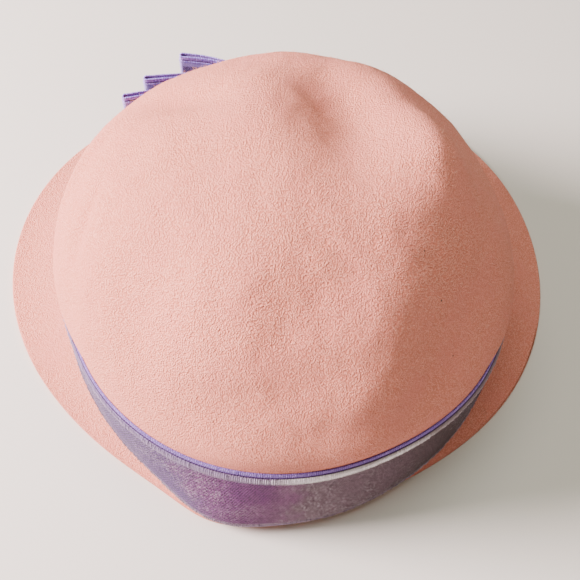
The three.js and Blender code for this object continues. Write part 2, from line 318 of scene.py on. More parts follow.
def crown(angle, rise):
    """Points of the smooth crown, before dents."""
    angle, rise = np.broadcast_arrays(np.asarray(angle, float), np.asarray(rise, float))
    turned = angle - math.radians(OVAL_TURN)
    short = np.abs(np.cos(turned)) / (CROWN_WIDTH / 2)
    long = np.abs(np.sin(turned)) / (CROWN_LENGTH / 2)
    oval = (short**OVAL_POWER + long**OVAL_POWER) ** (-1 / OVAL_POWER)
    dome = np.maximum(1 - rise**SIDE_POWER, 0) ** (1 / TOP_POWER)
    swell = 1 + SIDE_SWELL * np.sin(math.pi * np.minimum(rise / 0.75, 1))
    low = 1 - ease(rise / RIBBON_RISE)
    flare = 1 + around("flare", angle) * low
    start = 0.8 * RIBBON_RISE
    shoulder = 1 + around("shoulder", angle) * ease((rise - start) / (1 - start))
    heel = HEEL_OUT * low * np.exp(-((degrees_past(angle, HEEL_AZIMUTH) / HEEL_SPREAD) ** 2))
    radius = oval * dome * swell * flare * shoulder + heel
    return np.stack([
        radius * np.cos(angle) - LEAN_RIGHT * rise,
        radius * np.sin(angle) + LEAN_BACK * rise,
        head_line(angle) * (1 - rise) + (CROWN_HEIGHT + HEAD_LINE_MIDDLE) * rise,
    ], -1)


def side_pull(angle, rise):
    """How far the tight ribbon draws the hat in at the two sides."""
    shares = [np.exp(-((degrees_past(angle, a) / SIDE_SPREAD) ** 4)) for a in SIDE_AZIMUTHS]
    return SIDE_PULL * sum(shares) * ease(rise / RIBBON_RISE / SIDE_PULL_FULL)


def unit(v):
    return v / np.linalg.norm(v, axis=-1, keepdims=True)


def crown_normal(angle, rise):
    step = 1e-3
    rise = np.minimum(rise, 0.995)
    side = crown(angle + step, rise) - crown(angle - step, rise)
    up = crown(angle, rise + step) - crown(angle, np.maximum(rise - step, 0))
    return unit(np.cross(side, up))


print("crown's top at", crown(0, 1).round(1), "mm")

# %% The dents
def dent_height(points):
    """How far the dents move points of the crown outwards, in millimetres."""
    total = np.zeros(points.shape[:-1])
    for azimuth, rise, across, up, turn, out in DENTS.values():
        angle = math.radians(azimuth)
        normal = crown_normal(angle, rise)
        level = np.array([-math.sin(angle), math.cos(angle), 0])
        level = np.array(Matrix.Rotation(math.radians(turn), 3, Vector(normal)) @ Vector(level))
        offset = (points - crown(angle, rise)) / CROWN_HEIGHT
        reach = (
            (offset @ level / across) ** 2
            + (offset @ np.cross(normal, level) / up) ** 2
            + (offset @ normal / (across + up)) ** 2
        )
        total += out * CROWN_HEIGHT * np.exp(-reach)
    return total


def felt(angle, rise):
    """The felt's outer face on the crown: dented above, drawn in under the ribbon. It rolls out over
    the ribbon's upper edge, and sooner at the two sides."""
    points = crown(angle, rise)
    pull = side_pull(angle, rise)
    freed = ease((rise - RIBBON_RISE) / (ROLL_RISE + (SIDE_ROLL_RISE - ROLL_RISE) * pull / SIDE_PULL))
    out = dent_height(points) * freed - (RIBBON_SEAT + pull) * (1 - freed)
    return points + crown_normal(angle, rise) * out[..., None]


def brim_reach(angle):
    return np.maximum(RIBBON_SEAT + around("brim", angle) * BRIM_WIDTH, -FOOT_TUCK)


def brim(angle, share):
    """The felt's upper face on the brim, from the head line (0) to the edge (1)."""
    start = felt(angle, 0 * angle)
    out = brim_reach(angle) * share
    z = FELT_THICKNESS + (start[..., 2] - FELT_THICKNESS) * (1 - share) ** BRIM_CURVE
    return np.stack([start[..., 0] + np.cos(angle) * out, start[..., 1] + np.sin(angle) * out, z], -1)


print("the brim's reach in front in mm:", round(float(brim_reach(math.radians(270))), 1))

# %% [markdown]
# The solids were moved so that the origin lies in the middle of the hat. The felt solid's box says
# how far, so the same move is found here by laying the brim's edge on that box.

# %% The move to the frame's origin
turn = np.linspace(0, 2 * math.pi, 91)
edge = brim(turn, 1.0)
box_low, box_high = (np.array(corner) * 1000 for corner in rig.box("felt_body"))
move_x = (box_low[0] + box_high[0] - edge[:, 0].min() - edge[:, 0].max()) / 2
MOVE = np.array([move_x, box_low[1] - edge[:, 1].min(), 0])
print("move in mm:", MOVE.round(2))


# %% [markdown]
# ## Small helpers for node trees
# Both materials and Geometry Nodes are trees of nodes. Writing one in a script is mostly adding a
# node, filling its inputs and passing one output on, so a single short helper does all three.

# %% A node, its inputs and one output
def add_node(tree, kind, sockets=None, out=0, **settings):
    made = tree.nodes.new(kind)
    for key, value in settings.items():
        setattr(made, key, value)
    for key, value in (sockets or {}).items():
        if isinstance(key, int):
            socket = made.inputs[key]
        else:
            socket = next(s for s in made.inputs if s.name == key and s.enabled)
        if isinstance(value, bpy.types.NodeSocket):
            tree.links.new(value, socket)
        else:
            socket.default_value = value
    if isinstance(out, str):
        return next(s for s in made.outputs if s.name == out and s.enabled)
    return made.outputs[out]


def sum_of(tree, *terms, operation="ADD"):
    total = terms[0]
    for term in terms[1:]:
        total = add_node(tree, "ShaderNodeMath", {0: total, 1: term}, operation=operation)
    return total


def product(tree, *terms):
    return sum_of(tree, *terms, operation="MULTIPLY")


def scaled(tree, vector, factor):
    return add_node(tree, "ShaderNodeVectorMath", {0: vector, "Scale": factor}, operation="SCALE")


def mixed(tree, factor, a, b):
    """One colour turned into another by a factor."""
    a, b = ((*colour, 1) if isinstance(colour, tuple) else colour for colour in (a, b))
    return add_node(tree, "ShaderNodeMix", {0: factor, 6: a, 7: b}, out=2, data_type="RGBA")


def ranged(tree, value, low, high, to_low=0.0, to_high=1.0, smooth=True):
    """A value spread from one range to another, and held at the ends."""
    sockets = {0: value, 1: low, 2: high, 3: to_low, 4: to_high}
    kind = "SMOOTHSTEP" if smooth else "LINEAR"
    return add_node(tree, "ShaderNodeMapRange", sockets, interpolation_type=kind)


def clouds(tree, place, scale, detail, roughness):
    """A smooth noise over a place."""
    sockets = {"Vector": place, "Scale": scale, "Detail": detail, "Roughness": roughness}
    return add_node(tree, "ShaderNodeTexNoise", sockets)


def cells(tree, place, scale):
    """A random number for the cell that a place is in, and its distance from the cell's middle."""
    made = tree.nodes.new("ShaderNodeTexVoronoi")
    tree.links.new(place, made.inputs["Vector"])
    made.inputs["Scale"].default_value = scale
    number = add_node(tree, "ShaderNodeSeparateColor", {0: made.outputs["Color"]})
    return number, made.outputs["Distance"]


print("helpers ready")

# %% [markdown]
# ## Materials
# Felt and velvet are both a mat of short fibres, so they share one group, Nap. It takes a place and
# the size of a tuft, and gives a fine grain, softer patches and a height for a bump. Felt takes its
# place from the object, because a hood has no grain direction. The ribbon takes it from its own UV
# map, where 1 is one ribbon's width, so that its ribs follow it round every bend.

# %% The nap group
def nap_group():
    tree = bpy.data.node_groups.new("Nap", "ShaderNodeTree")
    tree.interface.new_socket("Place", in_out="INPUT", socket_type="NodeSocketVector")
    tree.interface.new_socket("Tuft Size", in_out="INPUT", socket_type="NodeSocketFloat")
    for name in ("Grain", "Patches", "Height"):
        tree.interface.new_socket(name, in_out="OUTPUT", socket_type="NodeSocketFloat")
    start = tree.nodes.new("NodeGroupInput")
    end = tree.nodes.new("NodeGroupOutput")
    scale = sum_of(tree, 1.0, start.outputs["Tuft Size"], operation="DIVIDE")
    place = scaled(tree, start.outputs["Place"], scale)
    fine = clouds(tree, place, scale=1.4, detail=3.0, roughness=0.65)
    pebbles = add_node(
        tree, "ShaderNodeTexVoronoi", {"Vector": place, "Scale": 1.15, "Smoothness": 0.35},
        out="Distance", feature="SMOOTH_F1",
    )
    grain = sum_of(tree, fine, product(tree, pebbles, -0.8), 0.33)
    soft = clouds(tree, place, scale=0.045, detail=4.0, roughness=0.55)
    height = sum_of(tree, grain, product(tree, soft, 0.6))
    for name, value in (("Grain", grain), ("Patches", soft), ("Height", height)):
        tree.links.new(value, end.inputs[name])
    return tree


def add_nap(tree, place, size):
    made = tree.nodes.new("ShaderNodeGroup")
    made.node_tree = NAP
    tree.links.new(place, made.inputs["Place"])
    made.inputs["Tuft Size"].default_value = size
    return made.outputs["Grain"], made.outputs["Patches"], made.outputs["Height"]


NAP = nap_group()
print("group", NAP.name, "puts out", [s.name for s in NAP.nodes["Group Output"].inputs if s.name])

# %% Pink felt
def new_material(name, colour, roughness, sheen, sheen_roughness, tint):
    material = plain_material(name, colour, roughness)
    shader = material.node_tree.nodes["Principled BSDF"]
    shader.inputs["Sheen Weight"].default_value = sheen
    shader.inputs["Sheen Roughness"].default_value = sheen_roughness
    shader.inputs["Sheen Tint"].default_value = (*tint, 1)
    shader.inputs["Specular IOR Level"].default_value = 0.2
    return material, material.node_tree, shader


def pink_felt():
    material, tree, shader = new_material(
        "pink felt", (0.86, 0.305, 0.23), roughness=0.95,
        sheen=0.1, sheen_roughness=0.5, tint=(1, 0.75, 0.68),
    )
    place = add_node(tree, "ShaderNodeTexCoord", out="Object")
    grain, patches, height = add_nap(tree, place, 0.0007)
    colour = mixed(tree, ranged(tree, grain, 0.34, 0.64), (0.74, 0.225, 0.163), (0.95, 0.37, 0.288))
    deeper = mixed(tree, 0.4, colour, (0.84, 0.26, 0.215))
    colour = mixed(tree, ranged(tree, patches, 0.42, 0.66), colour, deeper)
    # Now and then a dark speck of dust: in a few of the cells, close to the middle.
    number, distance = cells(tree, place, 160)
    near = ranged(tree, distance, 0.045, 0.08, 1.0, 0.0)
    speck = product(tree, near, ranged(tree, number, 0.93, 0.94))
    colour = mixed(tree, speck, colour, (0.12, 0.07, 0.05))
    tree.links.new(colour, shader.inputs["Base Color"])
    bump = add_node(tree, "ShaderNodeBump", {"Strength": 1.0, "Distance": 0.0009, "Height": height})
    tree.links.new(bump, shader.inputs["Normal"])
    return material


FELT = pink_felt()
print("material:", FELT.name)


# %% [markdown]
# Velvet ribbon has a raised pile with a thin woven selvedge at either side and a smooth back. In the
# UV map v runs from 0 to 1 up the pile side and from 1 to 2 down the back, so one number tells the
# material which part it colours. Velvet looks dark or light by the way its pile lies, and that
# changes slowly along the ribbon, so the pile's colour comes from a few stops on a ramp along u. On
# the band these stops also hold painted shade, dark brown where the band lies in shadow. The ramp for
# the upper border holds a painted highlight where the crest catches the light.

# %% Lavender velvet
SELVEDGE = 0.06
TWILL_ALONG, TWILL_ACROSS, RIBS_PER_WIDTH, TIPS_PER_METRE = 34.0, -20.0, 52.0, 2200


def velvet(name, pile_tone_and_shade, length, light, edge):
    """The first ramp is the standing pile's colour along the ribbon, whose length is in ribbon widths,
    with painted shade where a stretch lies in shadow, and edge its colour at the pile's upper border,
    with a painted highlight where the crest catches the light and painted shade past it. Each ramp is a
    list of places from 0 to 1 and colours."""
    material, tree, shader = new_material(name, pile_tone_and_shade[0][1], 0.9, 0.12, 0.4, (0.85, 0.8, 1))
    uv = add_node(tree, "ShaderNodeUVMap", uv_map="UVMap")
    split = tree.nodes.new("ShaderNodeSeparateXYZ")
    tree.links.new(uv, split.inputs[0])
    u, v = split.outputs[0], split.outputs[1]
    metres = scaled(tree, uv, RIBBON_WIDTH / 1000)
    grain, _, height = add_nap(tree, metres, 0.0006)
    crushed = clouds(tree, uv, scale=1.1, detail=5.0, roughness=0.65)
    wander = product(tree, sum_of(tree, crushed, -0.5), 2.4 / length)
    place = sum_of(tree, sum_of(tree, u, length, operation="DIVIDE"), wander)

    def along(stops):
        """The colour at this place of a ramp along the ribbon."""
        made = tree.nodes.new("ShaderNodeValToRGB")
        ramp = made.color_ramp
        ramp.interpolation = "EASE"
        (ramp.elements[0].position, first), (ramp.elements[1].position, last) = stops[0], stops[-1]
        ramp.elements[0].color, ramp.elements[1].color = (*first, 1), (*last, 1)
        for where, colour in stops[1:-1]:
            ramp.elements.new(where).color = (*colour, 1)
        tree.links.new(place, made.inputs[0])
        return made.outputs[0]

    def waves(per_u, per_v):
        """A sine across the ribbon's weave, from 0 to 1, nudged by the grain."""
        phase = sum_of(
            tree,
            product(tree, u, 2 * math.pi * per_u),
            product(tree, v, 2 * math.pi * per_v),
            product(tree, grain, 5.0),
        )
        sine = add_node(tree, "ShaderNodeMath", {0: phase}, operation="SINE")
        return ranged(tree, sine, -1.0, 1.0, smooth=False)

    # Bands across the ribbon: pile in the middle, its upper border, pale and with a painted highlight where the crest
    # catches the light, and the selvedge at either side.
    from_middle = add_node(tree, "ShaderNodeMath", {0: sum_of(tree, v, -0.5)}, operation="ABSOLUTE")
    pile_end = 0.5 - SELVEDGE
    pile = ranged(tree, from_middle, pile_end - 0.004, pile_end + 0.004, 1.0, 0.0)
    upper = ranged(tree, sum_of(tree, v, product(tree, grain, 0.03)), 0.845, 0.875)
    lower = ranged(tree, sum_of(tree, v, product(tree, crushed, 0.12)), 0.21, 0.13)

    # The pile: a twill of tufts with single bright tips, lit up where it is crushed.
    tips, _ = cells(tree, metres, TIPS_PER_METRE)
    twill = waves(TWILL_ALONG, TWILL_ACROSS)
    tone = sum_of(tree, twill, twill, tips, ranged(tree, grain, 0.35, 0.65, smooth=False))
    tone = ranged(tree, tone, 0.5, 3.5, 0.15, 1.85, smooth=False)
    # The pile's colour along the ribbon, which on the band includes painted shade where it lies in shadow.
    face = scaled(tree, along(pile_tone_and_shade), tone)
    shine = product(tree, ranged(tree, tips, 0.5, 1.0), ranged(tree, crushed, 0.4, 0.62))
    face = mixed(tree, product(tree, shine, 0.35), face, light)
    ribs = waves(RIBS_PER_WIDTH, 0.0)
    # The crest along the pile's upper border, with the painted highlight and painted shade of its ramp.
    border = mixed(tree, product(tree, ribs, 0.45), along(edge), face)
    face = mixed(tree, upper, face, border)
    # Towards the lower edge the pile turns paler and speckled.
    pale_foot = mixed(tree, tips, (0.2, 0.15, 0.2), light)
    face = mixed(tree, product(tree, lower, 0.6), face, pale_foot)

    # The selvedge: ribbed, with painted shade as a dark line in the hollow beside the pile.
    weave = mixed(tree, ribs, (0.12, 0.06, 0.3), (0.34, 0.22, 0.6))
    hollow_shade = ranged(tree, from_middle, pile_end + 0.018, pile_end + 0.006)
    weave = mixed(tree, hollow_shade, weave, (0.04, 0.012, 0.07))
    face = mixed(tree, pile, weave, face)
    # A painted highlight on the folded ends of the loops, marked on their points.
    fold = add_node(tree, "ShaderNodeAttribute", attribute_name="fold", out="Fac")
    tree.links.new(mixed(tree, fold, face, light), shader.inputs["Base Color"])
    relief = sum_of(tree, height, product(tree, twill, 0.6))
    bump = add_node(tree, "ShaderNodeBump", {"Strength": 0.9, "Distance": 0.0005, "Height": relief})
    tree.links.new(bump, shader.inputs["Normal"])
    return material


VELVET = velvet(
    "lavender velvet",
    pile_tone_and_shade=[
        # The dark brown stop at 0.6 is painted shade, where the band lies in shadow; the other stops are the pile's
        # own tone.
        (0.35, (0.085, 0.048, 0.15)), (0.41, (0.085, 0.036, 0.145)), (0.45, (0.14, 0.034, 0.145)),
        (0.485, (0.19, 0.07, 0.17)), (0.52, (0.16, 0.095, 0.13)), (0.6, (0.06, 0.026, 0.029)),
        (0.69, (0.09, 0.045, 0.11)), (0.8, (0.085, 0.042, 0.15)),
    ],
    length=14.8, light=(0.75, 0.66, 0.74),
    edge=[
        # The white stop at 0.505 is a painted highlight where the crest catches the light; the brownish stop at 0.6 is
        # painted shade where it lies in shadow.
        (0.38, (0.32, 0.25, 0.45)), (0.46, (0.3, 0.23, 0.35)), (0.505, (1, 0.97, 1)),
        (0.6, (0.35, 0.27, 0.27)), (0.75, (0.32, 0.25, 0.45)),
    ],
)
BOW_VELVET = velvet(
    "bow velvet",
    pile_tone_and_shade=[(0.0, (0.07, 0.03, 0.16)), (1.0, (0.085, 0.038, 0.18))],
    length=4.8, light=(0.42, 0.32, 0.8),
    edge=[(0.0, (0.14, 0.09, 0.45)), (1.0, (0.55, 0.44, 0.85))],
)
print("materials:", VELVET.name, "and", BOW_VELVET.name)

# %% Plain fibres
def short_fibre(name, dark, light, size, dim=None):
    """A fibre colour that drifts from dark to light and, where side colours are given, turns to them at the hat's two
    sides: a dull lavender towards +X, where the pile lies flat, and a dark brown painted shade towards -X.
    """
    material, tree, shader = new_material(name, light, 0.9, 0.2, 0.5, (1, 0.95, 1))
    place = add_node(tree, "ShaderNodeTexCoord", out="Object")
    grain, patches, _ = add_nap(tree, place, size)
    drift = ranged(tree, sum_of(tree, grain, patches), 0.75, 1.25)
    colour = mixed(tree, drift, dark, light)
    if dim:
        split = tree.nodes.new("ShaderNodeSeparateXYZ")
        tree.links.new(place, split.inputs[0])
        # Side colours: towards +X a dull lavender of flat-lying pile, towards -X a dark brown painted shade.
        side = sum_of(tree, split.outputs[0], product(tree, patches, 0.02))
        colour = mixed(tree, ranged(tree, side, -0.03, -0.065), colour, dim[1])
        colour = mixed(tree, ranged(tree, side, -0.012, 0.03), colour, dim[0])
    tree.links.new(colour, shader.inputs["Base Color"])
    return material


CORD = short_fibre("violet cord", (0.19, 0.1, 0.46), (0.5, 0.34, 0.85), 0.0012)
# The crest tufts are white where they catch the light, a painted highlight, and take the side colours towards the two
# sides of the hat.
TUFT = short_fibre(
    "pale pile", (0.8, 0.74, 0.8), (1, 0.97, 1), 0.0012, dim=((0.32, 0.24, 0.4), (0.26, 0.19, 0.22))
)
MATTED = short_fibre("matted pile", (0.14, 0.1, 0.15), (0.36, 0.29, 0.37), 0.0012)
BOW_TUFT = short_fibre("lavender pile", (0.2, 0.14, 0.62), (0.45, 0.35, 0.98), 0.0012)
FLUFF = short_fibre("felt fibre", (0.75, 0.3, 0.2), (0.95, 0.55, 0.42), 0.002)
print("materials:", [made.name for made in (CORD, TUFT, MATTED, BOW_TUFT, FLUFF)])

# %% [markdown]
# ## The felt body
# A felt hood has no seams, so its mesh is one skin as well: rings of points that run from the inside
# of the crown down to the cut edge of the brim and up the outside. A grid laid by the rule keeps the
# quads even, which a sculpted or simulated skin would not, and leaves room for the small unevenness
# of handled felt, which is added along the normals with a smooth noise.

# %% Mesh from rings
def mesh_from_rings(name, rings, caps=(None, None), closed=False, uv=None):
    """A skin through rings of points in millimetres, with a fan to a cap point at either end.
    uv holds u for each point of a ring and one more, and v for each ring and one more."""
    count = len(rings[0])
    points = [*np.concatenate(rings)]
    faces, corners = [], []
    for i in range(len(rings) if closed else len(rings) - 1):
        near, far = i * count, (i + 1) % len(rings) * count
        for j in range(count):
            k = (j + 1) % count
            faces.append((near + j, near + k, far + k, far + j))
            if uv:
                us, vs = uv
                u, next_u, v, next_v = us[j], us[j + 1], vs[i], vs[i + 1]
                corners += [(u, v), (next_u, v), (next_u, next_v), (u, next_v)]
    for cap, base, flip in ((caps[0], 0, True), (caps[1], (len(rings) - 1) * count, False)):
        if cap is not None:
            points.append(cap)
            tip = len(points) - 1
            for j in range(count):
                a, b = base + j, base + (j + 1) % count
                faces.append((b, a, tip) if flip else (a, b, tip))
    mesh = bpy.data.meshes.new(name)
    mesh.from_pydata(((np.array(points) + MOVE) / 1000).tolist(), [], faces)
    mesh.shade_smooth()
    if uv:
        layer = mesh.uv_layers.new(name="UVMap")
        layer.data.foreach_set("uv", np.array(corners, float).ravel())
    return mesh


def add_piece(name, mesh, node=None, slot=None):
    piece = add_object(name, mesh)
    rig.ride(piece, "root")
    if node:
        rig.replaces(piece, node)
    if slot:
        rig.slot(piece, slot)
    return piece


def grid_normals(grid):
    """Outward directions of a grid of rings, from its neighbours."""
    side = np.roll(grid, -1, 1) - np.roll(grid, 1, 1)
    up = np.gradient(grid, axis=0)
    return unit(np.cross(side, up))


print("ready to build meshes")

# %% The felt's outer rings
AROUND = 320
angles = np.linspace(0, 2 * math.pi, AROUND, endpoint=False)


def felt_rings():
    shares = 1 - np.linspace(0, 1, 30)[:-1] ** 1.15
    rises = np.sin(np.linspace(0, math.pi / 2, 80)) ** (2 / SIDE_POWER)
    rises = np.concatenate([np.linspace(0, 0.6, 46), rises[rises > 0.61]])
    rises = rises[rises < 0.9995]
    rings = [brim(angles, s) for s in shares] + [felt(angles, r + 0 * angles) for r in rises]
    return np.array(rings), len(shares)


def uneven(points, size, amount, octaves=3):
    """A smooth noise over points in millimetres: size is its wavelength, amount its height."""
    flat = points.reshape(-1, 3) / size
    values = [noise.fractal(Vector(p), 1.0, 2.0, octaves) for p in flat]
    return np.array(values).reshape(points.shape[:-1]) * amount


outer, brim_rows = felt_rings()
normals = grid_normals(outer)
print("rings of the felt:", len(outer), "points round:", AROUND)

# %% Unevenness and the closed body
SEAT_ROWS, FADE_ROWS, EDGE_ROWS = 32, 8, 5
ROUND = 0.5

lumps = uneven(outer, 22, 0.55) + uneven(outer + 50, 6.5, 0.16, 2)
fade = np.ones(len(outer))
seat_end = brim_rows + SEAT_ROWS
fade[:brim_rows] = np.linspace(0.15, 0.7, brim_rows)
fade[brim_rows:seat_end] = 0
fade[seat_end : seat_end + FADE_ROWS] = np.linspace(0, 1, FADE_ROWS)
outer = outer + normals * (lumps * fade[:, None])[..., None]

inner = outer - normals * FELT_THICKNESS
inner[..., 2] = np.maximum(inner[..., 2], RIM_LIFT)
edge_ring = outer[0]
radial = np.stack([np.cos(angles), np.sin(angles), 0 * angles], -1)
flat_width = np.maximum(RIM_FLAT * brim_reach(angles), FELT_THICKNESS)[:, None]
under = [edge_ring * [1, 1, 0] - radial * w for w in (flat_width, ROUND)]
side = [edge_ring * [1, 1, 0] + [0, 0, z] for z in (ROUND, FELT_THICKNESS - ROUND)]
top = felt(np.array([0.0]), np.array([1.0]))[0]
rings = [*inner[EDGE_ROWS:][::-1], *under, *side, edge_ring - radial * ROUND, *outer[1:]]
felt_mesh = mesh_from_rings("felt_hat", rings, caps=(top - [0, 0, FELT_THICKNESS], top))
felt_mesh.materials.append(FELT)
felt_hat = add_piece("felt_hat", felt_mesh, "felt_body", "felt")
print("felt faces:", len(felt_mesh.polygons))

# %% Mark the felt's open outside
first = len(rings) - len(outer) + 1
outside = np.zeros(len(felt_mesh.vertices))
outside[(first - 2) * AROUND : (first + brim_rows - 2) * AROUND] = 1
outside[(first + seat_end + 2) * AROUND :] = 1
felt_mesh.attributes.new("outside", "FLOAT", "POINT").data.foreach_set("value", outside)
print("share of the felt's points that lie open:", round(float(outside.mean()), 2))

# %% [markdown]
# ## The ribbon band
# A velvet ribbon 40 mm wide lies round the head line. Its section is the same wherever it goes: a
# thin selvedge at each side and a thicker pile between them. The band follows the crown, so it is
# laid as a grid over the crown's own rule, with the section pushed out along the crown's normals.
# Sewn ribbon is never quite even, so it ripples a little, and its upper edge curls in.

# %% The ribbon's section
PILE_THICKNESS, SELVEDGE_THICKNESS = 1.0, 0.5
SELVEDGE_WIDTH = SELVEDGE * RIBBON_WIDTH


def ribbon_section(width, rows):
    """Height over the back face and place across the ribbon, both in mm, all the way round it."""
    edge, step, low, high = SELVEDGE_WIDTH, 0.22, SELVEDGE_THICKNESS, PILE_THICKNESS
    side = [(0.12, 0), (low - 0.1, 0.04), (low, 0.25), (low, edge - step)]
    side += [(0.8 * high, edge), (high, edge + step), (high - 0.03, edge + 3 * step)]
    middle = [(high - 0.03, x) for x in np.linspace(edge + 6 * step, width - edge - 6 * step, rows)]
    face = side + middle + [(h, width - x) for h, x in side[::-1]]
    back = [(0, x) for x in np.linspace(width - 0.12, 0.12, rows // 2 + 2)]
    return face, back


face, back_side = ribbon_section(RIBBON_WIDTH, 18)
print("points round the ribbon's section:", len(face) + len(back_side))

# %% The band
BAND_START = math.radians(275)
BAND_FOOT = 0.004
RIPPLE_OUT, RIPPLE_UP, CURL, CURL_SHARE = 0.35, 0.0012, 0.25, 0.07


def band_rise(share):
    return BAND_FOOT + (RIBBON_RISE - BAND_FOOT) * share


def band_points(turns, share, height):
    """Points of the band at a share of its width and a height over its back, with rise and normal."""
    ring = np.stack([np.cos(turns), np.sin(turns), 0 * turns], -1)
    ripple = uneven(ring * 90, 30, 1.0, 2)
    rise = band_rise(share) + RIPPLE_UP * ripple
    curl = CURL * ease((share - 1 + CURL_SHARE) / CURL_SHARE)
    out = height - RIBBON_THICKNESS - curl + RIPPLE_OUT * ripple * math.sin(math.pi * share)
    out = out - side_pull(turns, rise)
    normal = crown_normal(turns, rise)
    return crown(turns, rise) + normal * out[:, None], rise, normal


def walked_along(path):
    """How far along a path each of its points lies."""
    steps = np.linalg.norm(np.diff(path, axis=0), axis=1)
    return np.concatenate([[0], np.cumsum(steps)])


def band_rings():
    turns = BAND_START + np.linspace(0, 2 * math.pi, 480, endpoint=False)
    rows, vs = [], []
    for part, start in ((face, 0), (back_side, 1)):
        for height, place in part:
            share = place / RIBBON_WIDTH
            rows.append(band_points(turns, share, height)[0])
            vs.append(share if start == 0 else 2 - share)
    us = walked_along(np.concatenate([rows[0], rows[0][:1]])) / RIBBON_WIDTH
    return rows, (us, [*vs, 2.0])


band_rows, band_uv = band_rings()
band_mesh = mesh_from_rings("velvet_band", band_rows, closed=True, uv=band_uv)
band_mesh.materials.append(VELVET)
velvet_band = add_piece("velvet_band", band_mesh, "ribbon_band", "velvet_ribbon")
print("band faces:", len(band_mesh.polygons), "length in mm:", round(band_uv[0][-1] * RIBBON_WIDTH))

# %% [markdown]
# ## The bow
# Each loop is the same ribbon led round a flat hairpin. A main piece that follows a path is what
# Geometry Nodes are good at: the path and the ribbon's section go in, Curve to Mesh sweeps one along
# the other, and the lengths along both are stored as the UV map. The tree also lays the loop against
# the crown, so the path itself can be drawn flat.

# %% The sweeping tree
def tree_sockets(tree, inputs):
    """Adds the geometry in and out and the named inputs, and returns the input and output nodes."""
    tree.interface.new_socket("Geometry", in_out="OUTPUT", socket_type="NodeSocketGeometry")
    tree.interface.new_socket("Geometry", in_out="INPUT", socket_type="NodeSocketGeometry")
    for name, kind, default in inputs:
        socket = tree.interface.new_socket(name, in_out="INPUT", socket_type=kind)
        if default is not None:
            socket.default_value = default
    return tree.nodes.new("NodeGroupInput"), tree.nodes.new("NodeGroupOutput")


def kept(tree, name, kind="FLOAT"):
    """A value that points keep under a name."""
    return add_node(tree, "GeometryNodeInputNamedAttribute", {"Name": name}, data_type=kind)


def captured(tree, geometry, value):
    """Keeps a value on the points of a geometry, and returns both."""
    made = tree.nodes.new("GeometryNodeCaptureAttribute")
    made.capture_items.new("FLOAT", "Kept")
    tree.links.new(geometry, made.inputs["Geometry"])
    tree.links.new(value, made.inputs["Kept"])
    return made.outputs["Geometry"], made.outputs["Kept"]


def put_out(tree, geometry, start, end):
    """Makes a geometry real, gives it the tree's material and passes it on to the output."""
    geometry = add_node(tree, "GeometryNodeRealizeInstances", {"Geometry": geometry})
    sockets = {"Geometry": geometry, "Material": start.outputs["Material"]}
    tree.links.new(add_node(tree, "GeometryNodeSetMaterial", sockets), end.inputs["Geometry"])


def sweep_tree():
    tree = bpy.data.node_groups.new("Sweep Ribbon", "GeometryNodeTree")
    start, end = tree_sockets(tree, (
        ("Section", "NodeSocketObject", None),
        ("Ribbon Width", "NodeSocketFloat", 0.04),
        ("Place", "NodeSocketVector", None),
        ("Turn", "NodeSocketRotation", None),
        ("Material", "NodeSocketMaterial", None),
    ))
    path = add_node(
        tree, "GeometryNodeSetCurveNormal", {"Curve": start.outputs["Geometry"], "Normal": (0, 0, 1)},
        mode="FREE",
    )
    length = add_node(tree, "GeometryNodeSplineParameter", out="Length")
    path, length = captured(tree, path, length)
    section = add_node(
        tree, "GeometryNodeObjectInfo", {"Object": start.outputs["Section"]}, out="Geometry"
    )
    section = add_node(tree, "GeometryNodeMeshToCurve", {"Mesh": section})
    section, around_section = captured(tree, section, kept(tree, "v"))
    swept = add_node(tree, "GeometryNodeCurveToMesh", {"Curve": path, "Profile Curve": section})
    u = sum_of(tree, length, start.outputs["Ribbon Width"], operation="DIVIDE")
    uv = add_node(tree, "ShaderNodeCombineXYZ", {"X": u, "Y": around_section})
    swept = add_node(
        tree, "GeometryNodeStoreNamedAttribute", {"Geometry": swept, "Name": "UVMap", "Value": uv},
        data_type="FLOAT2", domain="CORNER",
    )
    swept = add_node(tree, "GeometryNodeMergeByDistance", {"Geometry": swept, "Distance": 1e-6})
    swept = add_node(
        tree, "GeometryNodeTransform",
        {"Geometry": swept, "Translation": start.outputs["Place"], "Rotation": start.outputs["Turn"]},
    )
    put_out(tree, add_node(tree, "GeometryNodeSetShadeSmooth", {"Geometry": swept}), start, end)
    return tree


SWEEP = sweep_tree()
sweep_inputs = [s.name for s in SWEEP.interface.items_tree if s.in_out == "INPUT"]
print("tree:", SWEEP.name, "inputs:", sweep_inputs)

# %% Running a tree
def run_tree(tree, source, values, name):
    """Runs a tree on an object and returns its result as a plain mesh."""
    modifier = source.modifiers.new("nodes", "NODES")
    modifier.node_group = tree
    for socket in tree.interface.items_tree:
        if socket.in_out == "INPUT" and socket.name in values:
            modifier[socket.identifier] = values[socket.name]
    bpy.context.view_layer.update()
    done = source.evaluated_get(bpy.context.evaluated_depsgraph_get())
    mesh = bpy.data.meshes.new_from_object(done)
    mesh.name = name
    source.modifiers.remove(modifier)
    return mesh


def closed_curve(points):
    """A flat closed curve through points in metres."""
    data = bpy.data.curves.new("path", "CURVE")
    data.dimensions = "3D"
    spline = data.splines.new("POLY")
    spline.points.add(len(points) - 1)
    for point, place in zip(spline.points, points):
        point.co = (*place, 0, 1)
    spline.use_cyclic_u = True
    return add_object("path", data)


